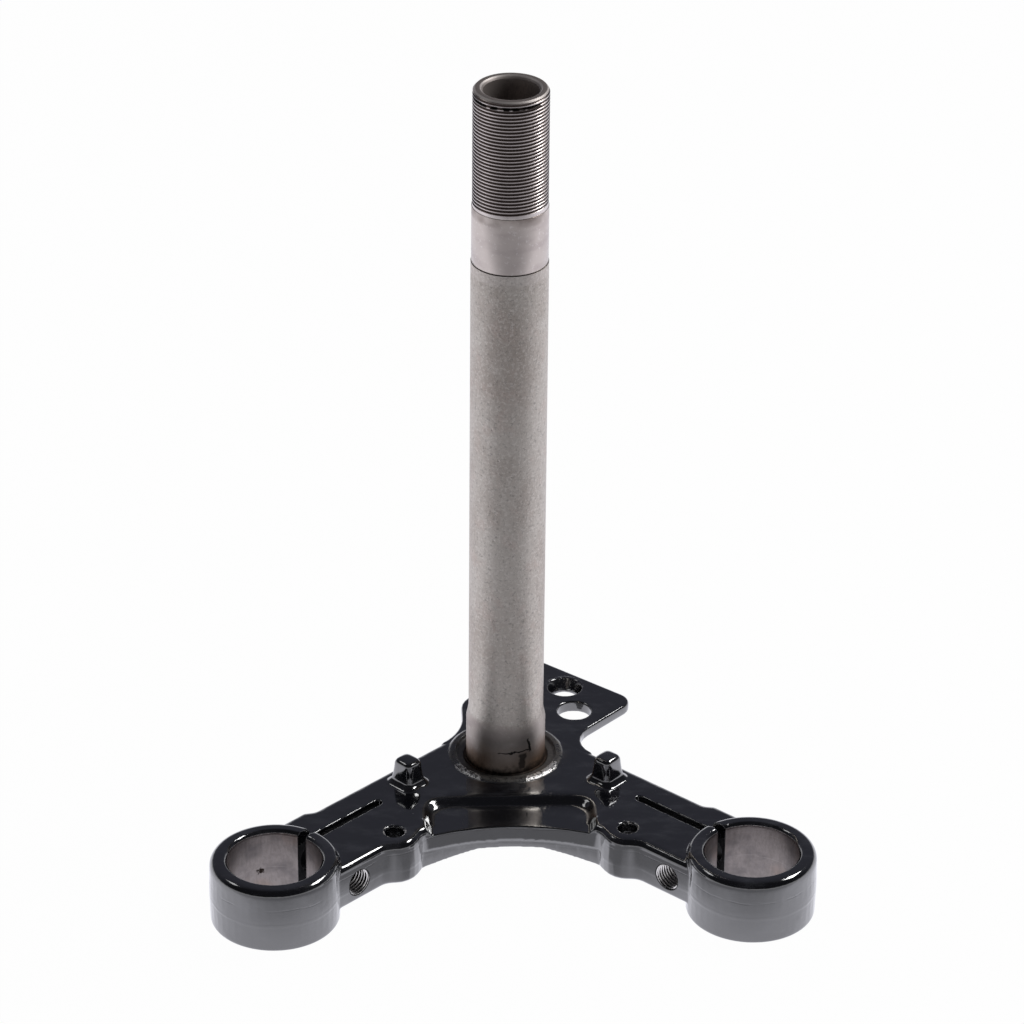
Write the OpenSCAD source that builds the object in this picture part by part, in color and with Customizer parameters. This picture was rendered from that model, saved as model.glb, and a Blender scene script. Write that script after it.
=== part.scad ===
// Lower fork yoke of a small motorcycle, with its steering stem pressed in.
// Millimetres. The origin is on the stem axis, level with the lower faces of the two fork clamps.
// +Z runs up the stem and -Y points to the front wheel, so the forks stand ahead of the stem.

/* [Fork clamps] */
// Distance between the two fork tubes, centre to centre
fork_spacing = 166; // [150:1:190]
// Distance of the fork tubes ahead of the stem axis
fork_offset = 71; // [66:1:78]
// Diameter of the fork tube that each clamp grips
fork_bore_d = 33; // [30:0.5:35]
// Wall of the clamp round its bore, at the parting line
clamp_wall = 6.4; // [5:0.1:8]
// Height of the clamps
clamp_height = 24.4; // [22:0.1:30]
// How much the clamp wall narrows from the parting line to its ends
clamp_draft = 0.25; // [0:0.05:0.6]
// Radius of the clamps' upper outer edges
clamp_edge_r = 3; // [1.5:0.1:3.5]
// Radius of the clamps' lower outer edges
clamp_foot_r = 1; // [0.6:0.1:2.5]
// Chamfer at both ends of each clamp bore
bore_chamfer = 1.1; // [0.5:0.1:2]

/* [Forging] */
// Height of the parting line
parting_height = 11.6; // [8:0.1:14]
// Height of the flat top of the arms and hub
arm_top = 20.8; // [18:0.1:21.5]
// Height of the underside of the arms and hub
arm_bottom = 4.2; // [2:0.1:7]
// Radius of the arms' upper edges
edge_r = 3.1; // [1.5:0.1:3.4]
// Radius of the arms' lower edges
foot_edge_r = 1.2; // [0.6:0.1:2.5]
// How much the arms' walls lean in from the parting line to their edges
wall_draft = 0.3; // [0:0.05:0.6]
// Step of the front arch below the parting line
parting_step = 0.7; // [0.3:0.1:1.5]

/* [Arms] */
// Direction in which each arm leaves its clamp, from the line through both clamps
arm_angle = 43.4; // [41:0.2:45]
// Distance of an arm's front face from the clamp centre
arm_front = 19; // [17:0.25:20]
// Distance of an arm's rear face from the clamp centre
arm_rear = 16.6; // [14.6:0.2:17.6]

/* [Slits and pinch bolts] */
// Width of the slit through clamp and arm
slit_width = 3; // [2:0.25:4]
// Distance of the slit behind the clamp centre
slit_offset = 3.5; // [0:0.25:5]
// Distance from the clamp centre to the end of the slit
slit_reach = 55; // [40:0.5:60]
// Distance from the clamp centre to the pinch bolt
pinch_reach = 22.5; // [22:0.25:25]
// Height of the pinch bolt
pinch_height = 12; // [10:0.25:14]
// Diameter of the tapped hole ahead of the slit
pinch_core_d = 8.8; // [6.8:0.1:9]
// Diameter of the clearance hole behind the slit
pinch_clear_d = 10.5; // [9:0.1:11.5]
// Distance from the clamp centre to the end of the bolt pad
pad_reach = 31; // [29:0.5:36]
// Height of the bolt pad above the arm's rear face
pad_proud = 2.2; // [1:0.1:4]
// Diameter of the spot face under the bolt head
spot_d = 16; // [15:0.5:16.5]
// Depth of the spot face
spot_depth = 0.5; // [0.2:0.1:1]

/* [Knees] */
// Distance of each knee from the centre plane
knee_x = 41; // [38:0.5:44]
// Distance of the knees ahead of the stem axis
knee_y = 50.6; // [47:0.5:54]
// Radius of the knee
knee_r = 9.4; // [8:0.2:11]
// Lean of the knee's inner flank, away from straight ahead
knee_lean = 25; // [15:1:35]
// Angle between the knee's outer flank and the arm's front face
knee_flank_angle = 42; // [30:1:55]
// Diameter of the upright hole in the knee
knee_hole_d = 6.8; // [5:0.1:8]
// Chamfer at the mouth of the knee hole
knee_hole_chamfer = 0.5; // [0.2:0.1:1]

/* [Front web] */
// Distance of the arch's crown ahead of the stem axis
arch_crown = 43.8; // [40:0.2:46]
// Radius of the front arch
arch_r = 77; // [60:1:100]
// Slope at which each end of the arch runs out
arch_end_angle = 21; // [16:0.5:24]
// Radius of the blends between the arch and the knees
front_blend = 5; // [3:0.5:6]
// Radius of the blends between the knees and the arms' front faces
flank_blend = 5.5; // [4:0.5:6]
// Half width of the upper pocket and of the arch's step
pocket_half = 31.4; // [27:0.2:32]
// Distance of the pockets' rear end ahead of the stem axis
pocket_rear = 27.5; // [25:0.5:32]
// Height of the shelf in the upper pocket
shelf_top = 17.4; // [15:0.1:19]
// Height of the web's underside
web_bottom = 8.3; // [7:0.1:10.5]
// Half width of the level part of the web's underside
web_flat_half = 11; // [6:0.5:18]
// Half width of the mouth that the underside slopes down to
web_mouth_half = 36; // [32:0.5:38]
// Radius of the pockets' corners in plan
pocket_corner = 9; // [5:0.5:10]
// Run of the pockets' sloping walls
pocket_slope = 3.6; // [1.5:0.1:4]

/* [Steering stops] */
// Distance of each stop lug from the centre plane
lug_x = 35.6; // [33:0.2:38]
// Distance of the lugs ahead of the stem axis
lug_y = 18.6; // [16:0.2:22]
// Height of the lugs above the arms
lug_height = 10; // [6:0.5:14]
// Size of a lug's foot along the arm
lug_foot_along = 9.4; // [8:0.2:11]
// Size of a lug's foot across the arm
lug_foot_across = 10.4; // [8:0.2:12]
// How much a lug narrows on each side towards its top
lug_taper = 1; // [0.3:0.1:1.5]
// Radius of the lugs' upright edges
lug_edge_r = 1.8; // [1:0.1:2.5]
// Radius round the top of the lugs
lug_crown_r = 1.2; // [0.5:0.1:2]
// Height of the fillet round a lug's foot
lug_fillet = 1.4; // [0.5:0.1:2]

/* [Hub] */
// Outer diameter of the raised rim round the stem
rim_d = 40; // [37:0.5:41]
// Width of the raised rim
rim_w = 2; // [1:0.1:3]
// Height of the rim above the arms
rim_proud = 0.8; // [0.3:0.1:1.2]
// Run of the slope outside the rim
rim_flare = 0.8; // [0.4:0.2:1.4]
// Depth of the annular seat inside the rim, below the arms' top
seat_depth = 0.4; // [0.1:0.1:1]
// Diameter of the boss under the hub
boss_d = 40; // [34:0.5:41]
// Chamfer round the foot of the boss
boss_chamfer = 1.5; // [0.5:0.1:3]

/* [Lock tab] */
// Step from the arms' top down to the tab's
tab_step = 0.1; // [0.05:0.05:1]
// Thickness of the tab
tab_thick = 4.4; // [3:0.1:6]
// Distance of the tab's straight side from the centre plane
tab_side = 15; // [12:0.5:17]
// Distance of the side's end behind the stem axis
tab_side_end = 36; // [30:0.5:40]
// Hidden apex of the tab, right of and behind the stem axis
tab_apex = [13, 66.9];
// Outer corner of the tab, right of and behind the stem axis
tab_corner = [49.6, 35.5];
// Direction of the edge from the outer corner to the right arm
tab_edge_angle = 45.9; // [42:0.2:50]
// Radius of the outer corners
tab_corner_r = 6; // [3:0.5:9]
// Radius at the end of the tab's straight side
tab_side_r = 10; // [6:0.5:12]
// Radius of the blends between tab and arms
tab_blend = 11.5; // [8:0.5:14]
// Radius of the blend between the tab's left side and the arm behind it
tab_side_blend = 24; // [16:1:26]
// Radius of the tab's edges
tab_edge_r = 1; // [0.4:0.1:1.6]
// Centre of the plain hole, right of and behind the stem axis
lock_hole_at = [26.4, 28.6];
// Diameter of the plain hole
lock_hole_d = 12.4; // [8:0.2:14]
// Centre of the dished hole, right of and behind the stem axis
dish_hole_at = [23.8, 45.3];
// Diameter of the dished hole at its mouth
dish_mouth_d = 13.2; // [10:0.2:15]
// Diameter of the dished hole at its foot
dish_foot_d = 8.8; // [6:0.2:9.6]
// Depth of the collar under the dished hole
dish_collar = 1; // [0.4:0.1:2]

/* [Steering stem] */
// Overall length of the stem
stem_length = 282.3; // [240:0.1:320]
// Diameter of the raw tube between the bearings
stem_d = 26.8; // [26:0.1:27.6]
// Diameter of the bore through the stem
stem_bore_d = 19; // [14:0.5:20]
// Diameter of the foot that is pressed into the hub
press_d = 30; // [29.6:0.1:32]
// Diameter of the lower bearing seat
lower_seat_d = 28.4; // [28:0.1:29]
// Height of the lower bearing seat's end above the arms' top
lower_seat_length = 16.2; // [12:0.1:20]
// Length of the cone from the lower seat to the raw tube
seat_cone = 4; // [1:0.5:6]
// Diameter of the upper bearing seat
upper_seat_d = 26.4; // [26:0.1:26.8]
// Length of the upper bearing seat
upper_seat_length = 20.6; // [14:0.1:26]
// Diameter over the thread's crests
thread_d = 26; // [24:0.5:26]
// Length of the thread
thread_length = 42.9; // [30:0.1:55]
// Chamfer at the top of the thread
thread_chamfer = 0.9; // [0.3:0.1:1.5]
// Chamfer at the top of the stem's bore
stem_bore_chamfer = 1; // [0.4:0.1:1.6]
// Depth and width of the turned groove under the upper seat
step_groove = 0.3; // [0.1:0.1:0.6]

/* [Hidden] */
$fn = 96;

paint = [0.07, 0.07, 0.08];
steel = [0.55, 0.53, 0.5];
// Overshoot of a cutting tool past the face that it cuts
over = 1;
// Facets of the small rounded shapes, and the turn that one facet of an outline may take
small_fn = 24;
facet_turn = 16;
wide_facet_turn = 6;
wide_r = 20;
edge_steps = 3;
foot_edge_steps = 1;
clamp_edge_steps = 6;
least_r = 0.2;
// Radius of the corners that lie buried in another shape, and how deep a blend starts in it
buried_r = 1;
buried = 0.6;

clamp_r = fork_bore_d / 2 + clamp_wall;
fork_at = [-fork_spacing / 2, -fork_offset];
along = [cos(arm_angle), sin(arm_angle)];
across = [-sin(arm_angle), cos(arm_angle)];
// Radius of the hub, which both arms' rear faces run into
hub_r = arm_rear + fork_at * across;
pad_rear = arm_rear + pad_proud;
tab_top = arm_top - tab_step;
tab_edge_along = [cos(tab_edge_angle), sin(tab_edge_angle)];
upper_seat_top = stem_length - thread_length;
upper_seat_foot = upper_seat_top - upper_seat_length;
lower_seat_top = arm_top + lower_seat_length;
shoulder_top = arm_top - seat_depth;

function unit(v) = v / norm(v);
function cross_of(u, v) = u[0] * v[1] - u[1] * v[0];
function turn_of(u, v) = atan2(cross_of(u, v), u * v);
function mirrored(p) = [-p[0], p[1]];
function reversed(list) = [for (i = [len(list) - 1:-1:0]) list[i]];

// Where the line through a along u meets the line through b along v
function meet(a, u, b, v) = a + u * cross_of(b - a, v) / cross_of(u, v);

// Place on the left arm, from its clamp centre: t along the arm, s towards the rear
function on_arm(t, s) = fork_at + t * along + s * across;

// Arc that rounds corner b of the path a, b, c with radius r, in n facets
function corner_arc(a, b, c, r, n) =
    let (u = unit(b - a), v = unit(c - b), bend = turn_of(u, v), side = sign(bend),
         start = b - u * r * tan(abs(bend) / 2),
         centre = start + side * r * [-u[1], u[0]],
         spoke = start - centre)
    [for (i = [0:n]) let (g = bend * i / n)
        centre + [spoke[0] * cos(g) - spoke[1] * sin(g), spoke[0] * sin(g) + spoke[1] * cos(g)]];

// Points of a counterclockwise outline, from corners of the form [point, radius]. The outline
// is set in by d, with as many points whatever d is.
function outline(corners, d = 0) =
    let (n = len(corners),
         before = [for (i = [0:n - 1]) corners[(i + n - 1) % n][0]],
         after = [for (i = [0:n - 1]) corners[(i + 1) % n][0]],
         u = [for (i = [0:n - 1]) unit(corners[i][0] - before[i])],
         v = [for (i = [0:n - 1]) unit(after[i] - corners[i][0])],
         bend = [for (i = [0:n - 1]) turn_of(u[i], v[i])],
         moved = [for (i = [0:n - 1]) let (w = [-u[i][1], u[i][0]] + [-v[i][1], v[i][0]])
                     corners[i][0] + d * w / (1 + u[i] * v[i])])
    [for (i = [0:n - 1])
        let (r = corners[i][1],
             steps = ceil(abs(bend[i]) / (r > wide_r ? wide_facet_turn : facet_turn)))
        each corner_arc(moved[(i + n - 1) % n], moved[i], moved[(i + 1) % n],
                        max(least_r, r - sign(bend[i]) * d), steps)];

// Whether q lies in the counterclockwise triangle a, b, c or on its edge
function covers(a, b, c, q) =
    cross_of(b - a, q - a) >= 0 && cross_of(c - b, q - b) >= 0 && cross_of(a - c, q - c) >= 0;

// First place from k onwards in the ring where a triangle can be cut off the outline p
function ear(p, ring, k) =
    let (n = len(ring), i = k % n, a = p[ring[(i + n - 1) % n]], b = p[ring[i]],
         c = p[ring[(i + 1) % n]],
         clear = cross_of(b - a, c - b) > 0
             && len([for (j = [2:n - 2]) if (covers(a, b, c, p[ring[(i + j) % n]])) j]) == 0)
    clear || k > 2 * n ? i : ear(p, ring, k + 1);

// Triangles that fill the counterclockwise outline p, where ring lists the points still left
function fill(p, ring, k = 0, cut = []) =
    let (n = len(ring))
    n == 3 ? concat(cut, [ring]) :
    let (i = ear(p, ring, k))
    fill(p, [for (j = [0:n - 1]) if (j != i) ring[j]], i + 1,
         concat(cut, [[ring[(i + n - 1) % n], ring[i], ring[(i + 1) % n]]]));

// Solid that follows an outline from level to level, where each level is [height, inset]
module loft(corners, levels) {
    rings = [for (level = levels) outline(corners, level[1])];
    count = len(rings[0]);
    top = len(levels) - 1;
    points = [for (k = [0:top]) each [for (p = rings[k]) [p[0], p[1], levels[k][0]]]];
    all = [for (i = [0:count - 1]) i];
    foot_cap = fill(rings[0], all);
    top_cap = [for (t = fill(rings[top], all)) top * count * [1, 1, 1] + reversed(t)];
    walls = [for (k = [0:top - 1], i = [0:count - 1])
        let (j = (i + 1) % count)
        each [[k * count + i, (k + 1) * count + i, (k + 1) * count + j],
              [k * count + i, (k + 1) * count + j, k * count + j]]];
    polyhedron(points, concat(foot_cap, top_cap, walls));
}

// Levels of a plate with edges rounded by foot_r and top_r, and walls that lean in by lean
function plate_levels(foot, top, foot_r, top_r, lean, middle) = concat(
    [for (i = [0:foot_edge_steps]) let (g = 90 * i / foot_edge_steps)
        [foot + foot_r * (1 - cos(g)), lean + foot_r * (1 - sin(g))]],
    lean > 0 ? [[middle, 0]] : [],
    [for (i = [0:edge_steps]) let (g = 90 * i / edge_steps)
        [top - top_r * (1 - sin(g)), lean + top_r * (1 - cos(g))]]);

module both_sides() {
    children();
    mirror([1, 0, 0]) children();
}

// Frame of the left arm: X runs from the clamp centre towards the hub, Y points to the rear
module arm_frame() translate([fork_at[0], fork_at[1], 0]) rotate(arm_angle) children();

// Corners of the forging's left half, from the middle of the arch round to the rear of the hub
function forging_half() =
    let (knee = [-knee_x, -knee_y],
         arch_end_along = [-cos(arch_end_angle), -sin(arch_end_angle)],
         arch_apex = [0, -arch_crown - arch_r + arch_r / cos(arch_end_angle)],
         side_along = [-sin(knee_lean), -cos(knee_lean)],
         side_at = knee + knee_r * [cos(knee_lean), -sin(knee_lean)],
         flank_along = [cos(arm_angle - knee_flank_angle), sin(arm_angle - knee_flank_angle)],
         flank_at = knee + knee_r * [flank_along[1], -flank_along[0]],
         rear_apex = [0, hub_r / across[1]])
    [[arch_apex, arch_r],
     [meet(arch_apex, arch_end_along, side_at, side_along), front_blend],
     [meet(side_at, side_along, flank_at, flank_along), knee_r],
     [meet(flank_at, flank_along, on_arm(0, -arm_front), along), flank_blend],
     [on_arm(0, -arm_front), buried_r],
     [on_arm(0, pad_rear), buried_r],
     [on_arm(pad_reach, pad_rear), pad_proud],
     [on_arm(pad_reach + 1.5 * pad_proud, arm_rear), pad_proud],
     [rear_apex, hub_r]];

// Both halves, counterclockwise: the left half runs clockwise and is turned round
function forging_corners() =
    let (half = forging_half(), n = len(half))
    concat([for (i = [0:n - 1]) [mirrored(half[i][0]), half[i][1]]],
           [for (i = [n - 2:-1:1]) half[i]]);

// Corners of the tab. Its blends start inside the arms' rear faces, and it closes in the hub.
function tab_corners() =
    let (right_along = mirrored(along),
         inner_apex = [0, (hub_r - buried) / across[1]],
         notch = meet(inner_apex, right_along, tab_corner, tab_edge_along),
         side_foot = meet(inner_apex, along, [-tab_side, 0], [0, 1]),
         notch_run = tab_blend * tan(abs(turn_of(right_along, -tab_edge_along)) / 2),
         side_run = tab_side_blend * tan(abs(turn_of([0, -1], -along)) / 2))
    [[notch - right_along * (notch_run + buried_r), least_r],
     [notch, tab_blend],
     [tab_corner, tab_corner_r],
     [tab_apex, tab_corner_r],
     [[-tab_side, tab_side_end], tab_side_r],
     [side_foot, tab_side_blend],
     [side_foot - along * (side_run + buried_r), least_r],
     [[0, 0], buried_r]];

// Tool for a pocket: a rounded opening whose walls slope outwards from its floor to its mouth
module pocket(floor_z, floor_half, mouth_z, mouth_half) {
    hull() {
        pocket_slice(floor_z, floor_half, pocket_slope);
        pocket_slice(mouth_z, mouth_half, 0);
    }
}

module pocket_slice(z, half, inset) {
    r = pocket_corner - inset;
    for (side = [-1, 1])
        translate([side * (half - r), -pocket_rear - pocket_corner, z])
            cylinder(r = r, h = 0.01, $fn = small_fn);
    translate([-half, -2 * fork_offset, z])
        cube([2 * half, fork_offset, 0.01]);
}

// Sets the arch's wall back below the parting line
module parting_relief() {
    intersection() {
        translate([0, -arch_crown - arch_r, -over])
            cylinder(r = arch_r + parting_step, h = parting_height + over, $fn = 180);
        translate([-pocket_half, -2 * arch_crown, -over])
            cube([2 * pocket_half, 2 * arch_crown, parting_height + 2 * over]);
    }
}

module clamp_ring() {
    end_r = clamp_r - clamp_draft;
    edge = [for (i = [0:clamp_edge_steps]) let (g = 90 * i / clamp_edge_steps) [sin(g), 1 - cos(g)]];
    rotate_extrude()
        polygon(concat([[fork_bore_d / 2 - over, 0]],
                       [for (p = edge) [end_r, 0] + clamp_foot_r * [p[0] - 1, p[1]]],
                       [[clamp_r, parting_height]],
                       [for (p = reversed(edge)) [end_r, clamp_height] + clamp_edge_r * [p[0] - 1, -p[1]]],
                       [[fork_bore_d / 2 - over, clamp_height]]));
}

// Bore, slit and pinch bolt hole of one clamp
module clamp_cuts() {
    bore_r = fork_bore_d / 2;
    slit_end = slit_reach - slit_width / 2;
    translate([0, 0, -over]) cylinder(r = bore_r, h = clamp_height + 2 * over);
    translate([0, 0, clamp_height - bore_chamfer])
        cylinder(r1 = bore_r, r2 = bore_r + bore_chamfer + over, h = bore_chamfer + over);
    translate([0, 0, -over])
        cylinder(r1 = bore_r + bore_chamfer + over, r2 = bore_r, h = bore_chamfer + over);
    translate([0, slit_offset - slit_width / 2, -over])
        cube([slit_end, slit_width, clamp_height + 2 * over]);
    translate([slit_end, slit_offset, -over])
        cylinder(d = slit_width, h = clamp_height + 2 * over);
    translate([pinch_reach, slit_offset, pinch_height]) {
        rotate([90, 0, 0]) cylinder(d = pinch_core_d, h = arm_front + slit_offset + over);
        rotate([-90, 0, 0]) cylinder(d = pinch_clear_d, h = pad_rear);
    }
    translate([pinch_reach, pad_rear - spot_depth, pinch_height])
        rotate([-90, 0, 0]) cylinder(d = spot_d, h = clamp_r);
}

// Steering stop lug, narrower at its crown and flared at its foot
module stop_lug() {
    foot = [lug_foot_along, lug_foot_across] / 2 - [1, 1] * lug_edge_r;
    crown = foot - [1, 1] * lug_taper;
    hull() {
        lug_slice(foot, -edge_r, 0);
        for (x = [-1, 1], y = [-1, 1])
            translate([x * crown[0], y * crown[1], lug_height - lug_crown_r])
                scale([1, 1, lug_crown_r / lug_edge_r]) sphere(lug_edge_r, $fn = small_fn);
    }
    hull() {
        lug_slice(foot, -over, lug_fillet + over);
        lug_slice(foot, lug_fillet + buried, -buried);
    }
}

// Slice of a lug at one height, grown on all sides by out
module lug_slice(foot, z, out) {
    for (x = [-1, 1], y = [-1, 1])
        translate([x * foot[0], y * foot[1], z])
            cylinder(r = lug_edge_r + out, h = 0.01, $fn = small_fn);
}

module hub_rim() {
    translate([0, 0, arm_top - over]) cylinder(d = rim_d + 2 * rim_flare, h = over);
    translate([0, 0, arm_top]) cylinder(d1 = rim_d + 2 * rim_flare, d2 = rim_d, h = rim_proud);
}

module hub_boss() {
    cylinder(d1 = boss_d - 2 * boss_chamfer, d2 = boss_d, h = boss_chamfer);
    translate([0, 0, boss_chamfer]) cylinder(d = boss_d, h = arm_bottom + over - boss_chamfer);
}

module dish_collar() {
    translate([dish_hole_at[0], dish_hole_at[1], arm_top - tab_thick - dish_collar])
        cylinder(d1 = dish_foot_d + 2 * dish_collar, d2 = dish_mouth_d, h = dish_collar + over);
}

module lock_tab_cuts() {
    translate([lock_hole_at[0], lock_hole_at[1], arm_bottom])
        cylinder(d = lock_hole_d, h = arm_top);
    translate([dish_hole_at[0], dish_hole_at[1], 0]) {
        cylinder(d = dish_foot_d, h = arm_top + over);
        translate([0, 0, arm_top - tab_thick])
            cylinder(d1 = dish_foot_d, d2 = dish_mouth_d, h = tab_thick);
        translate([0, 0, arm_top]) cylinder(d = dish_mouth_d, h = over);
    }
}

module knee_hole() {
    cylinder(d = knee_hole_d, h = arm_top + over);
    translate([0, 0, arm_top - knee_hole_chamfer])
        cylinder(d1 = knee_hole_d, d2 = knee_hole_d + 2 * (knee_hole_chamfer + over),
                 h = knee_hole_chamfer + over);
}

module yoke() {
    color(paint)
    difference() {
        union() {
            loft(forging_corners(),
                 plate_levels(arm_bottom, arm_top, foot_edge_r, edge_r, wall_draft, parting_height));
            loft(tab_corners(),
                 plate_levels(tab_top - tab_thick, tab_top, tab_edge_r, tab_edge_r, 0, tab_top));
            both_sides() {
                translate([fork_at[0], fork_at[1], 0]) clamp_ring();
                translate([-lug_x, -lug_y, arm_top]) rotate(arm_angle) stop_lug();
            }
            hub_rim();
            hub_boss();
            dish_collar();
        }
        pocket(shelf_top, pocket_half - pocket_slope, arm_top + over, pocket_half);
        mirror([0, 0, 1]) pocket(-web_bottom, web_flat_half, over - arm_bottom, web_mouth_half);
        parting_relief();
        both_sides() {
            arm_frame() clamp_cuts();
            translate([-knee_x, -knee_y, 0]) knee_hole();
        }
        translate([0, 0, shoulder_top]) cylinder(d = rim_d - 2 * rim_w, h = arm_top);
        translate([0, 0, -over]) cylinder(d = press_d, h = arm_top + over);
        lock_tab_cuts();
    }
}

module steering_stem() {
    press_r = press_d / 2;
    seat_r = lower_seat_d / 2;
    tube_r = stem_d / 2;
    upper_r = upper_seat_d / 2;
    thread_r = thread_d / 2;
    bore_r = stem_bore_d / 2;
    color(steel)
    rotate_extrude()
        polygon([[bore_r, 0], [press_r, 0], [press_r, shoulder_top],
                 [seat_r, shoulder_top], [seat_r, lower_seat_top],
                 [tube_r, lower_seat_top + seat_cone], [tube_r, upper_seat_foot - step_groove],
                 [upper_r - step_groove, upper_seat_foot - step_groove],
                 [upper_r - step_groove, upper_seat_foot], [upper_r, upper_seat_foot],
                 [upper_r, upper_seat_top], [thread_r, upper_seat_top],
                 [thread_r, stem_length - thread_chamfer],
                 [thread_r - thread_chamfer, stem_length],
                 [bore_r + stem_bore_chamfer, stem_length],
                 [bore_r, stem_length - stem_bore_chamfer]]);
}

yoke();
steering_stem();
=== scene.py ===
"""Looks of a lower fork yoke with its steering stem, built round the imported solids."""

import logging
import math
from dataclasses import dataclass, field
from enum import Enum

import bmesh
import bpy
from mathutils import Matrix, Vector


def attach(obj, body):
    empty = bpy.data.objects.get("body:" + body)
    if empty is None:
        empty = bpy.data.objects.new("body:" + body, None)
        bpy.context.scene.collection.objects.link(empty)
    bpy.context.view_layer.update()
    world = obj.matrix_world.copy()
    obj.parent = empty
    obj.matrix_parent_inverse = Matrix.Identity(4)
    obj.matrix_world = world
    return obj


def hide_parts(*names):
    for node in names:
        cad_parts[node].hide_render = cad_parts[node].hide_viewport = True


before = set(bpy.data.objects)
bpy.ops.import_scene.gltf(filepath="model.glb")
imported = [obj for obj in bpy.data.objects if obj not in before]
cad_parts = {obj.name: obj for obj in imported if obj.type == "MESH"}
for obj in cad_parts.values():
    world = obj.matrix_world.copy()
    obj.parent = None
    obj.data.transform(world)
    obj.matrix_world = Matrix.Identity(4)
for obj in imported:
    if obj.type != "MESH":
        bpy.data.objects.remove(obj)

MM = 0.001
# Places of a Mix node's colour sockets, which share their names with others.
MIX_FACTOR, MIX_A, MIX_B, MIX_RESULT = 0, 6, 7, 2
logging.basicConfig(level=logging.INFO, format="%(message)s")
log = logging.getLogger("triple_clamp")

Socket = bpy.types.NodeSocket
Value = float | Socket


class Slot(Enum):
    """Material slots of the record, named like the pieces' finishes."""

    YOKE = "yoke_enamel"
    STEM = "stem_steel"


@dataclass(frozen=True)
class Thread:
    """A metric thread, in millimetres.

    Args:
        crest_r: radius at the crests, or at the bore of a tapped hole.
        root_r: radius at the bottom of the groove.
        pitch: distance from ridge to ridge.
        mouth: width of the groove at the crests.
        floor: width of the groove at its bottom.
        steps: facets in one turn.
        proud: how far the cutting tool stands out of the wall.
    """

    crest_r: float
    root_r: float
    pitch: float
    mouth: float
    floor: float
    steps: int
    proud: float = 0.1

    def cutter(self, name: str, start: float, end: float) -> bpy.types.Object:
        """Solid of the groove, wound about Z.

        Args:
            name: name of the cutting tool.
            start: height of the first groove, in millimetres.
            end: height of the last one.

        Returns:
            The tool, as an object in the scene.
        """
        sign = 1 if self.root_r < self.crest_r else -1
        lip_r = self.crest_r + sign * self.proud
        corners = [(self.root_r, -self.floor / 2), (lip_r, -self.mouth / 2),
                   (lip_r, self.mouth / 2), (self.root_r, self.floor / 2)]
        turns = (end - start) / self.pitch
        groove = bmesh.new()
        loop = [groove.verts.new((r * MM, 0, (start + z) * MM)) for r, z in corners]
        edges = [groove.edges.new((a, b)) for a, b in zip(loop, loop[1:] + loop[:1])]
        bmesh.ops.spin(groove, geom=loop + edges, cent=(0, 0, 0), axis=(0, 0, 1),
                       dvec=(0, 0, self.pitch * MM / self.steps), angle=2 * math.pi * turns,
                       steps=round(turns * self.steps), use_merge=False, use_duplicate=False)
        bmesh.ops.holes_fill(groove, edges=[e for e in groove.edges if e.is_boundary], sides=4)
        bmesh.ops.recalc_face_normals(groove, faces=groove.faces)
        return to_object(groove, name)


def to_object(shape: bmesh.types.BMesh, name: str) -> bpy.types.Object:
    """Puts a bmesh into the scene.

    Args:
        shape: the bmesh, which is freed.
        name: name of the piece.

    Returns:
        The new object, at the origin.
    """
    mesh = bpy.data.meshes.new(name)
    shape.to_mesh(mesh)
    shape.free()
    piece = bpy.data.objects.new(name, mesh)
    bpy.context.scene.collection.objects.link(piece)
    return piece


def settle(piece: bpy.types.Object) -> None:
    """Applies a piece's modifiers to its mesh.

    Args:
        piece: the piece, which gets a new mesh.
    """
    bpy.context.view_layer.update()
    graph = bpy.context.evaluated_depsgraph_get()
    mesh = bpy.data.meshes.new_from_object(piece.evaluated_get(graph))
    piece.modifiers.clear()
    old, piece.data = piece.data, mesh
    bpy.data.meshes.remove(old)
    mesh.name = piece.name


def cut(piece: bpy.types.Object, tool: bpy.types.Object) -> None:
    """Takes a tool's solid out of a piece.

    Args:
        piece: the piece.
        tool: the cutting tool, which is removed.
    """
    step = piece.modifiers.new("cut", "BOOLEAN")
    step.operation, step.solver, step.object = "DIFFERENCE", "MANIFOLD", tool
    settle(piece)
    bpy.data.objects.remove(tool)


def shade(piece: bpy.types.Object, sharp: float) -> None:
    """Shades a piece smooth, apart from edges sharper than an angle in degrees."""
    piece.data.shade_smooth()
    piece.data.set_sharp_from_angle(angle=math.radians(sharp))


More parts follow.
